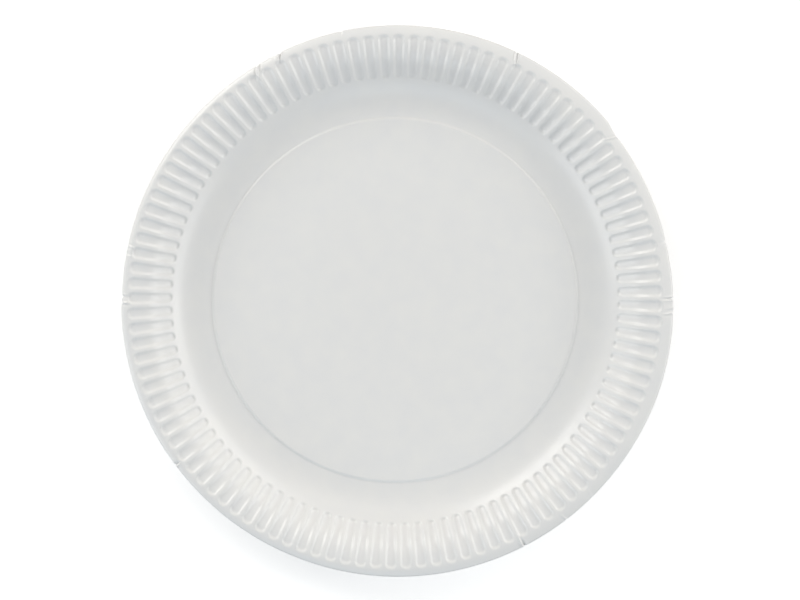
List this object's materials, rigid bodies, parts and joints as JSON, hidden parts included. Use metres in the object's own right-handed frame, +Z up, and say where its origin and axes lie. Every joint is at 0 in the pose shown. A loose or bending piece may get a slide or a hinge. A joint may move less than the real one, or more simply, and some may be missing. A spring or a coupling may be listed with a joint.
{
  "type": "paper plate",
  "caption": "Round disposable paper plate with a raised well, a sloping wall with pressed radial flutes and a smooth turned-down lip.",
  "frame": {"origin": "centre of the round cut edge, in the plane that the plate stands on", "axes": "+Z up out of the plate; +Y towards the top of the reference view, +X to its right"},
  "size_m": [0.23, 0.23, 0.0151],
  "materials": {
    "coated_board": "white coated paperboard, faintly glossy on the eating side and matt below"
  },
  "bodies": {
    "root": {"plate": "coated_board"}
  },
  "joints": []
}
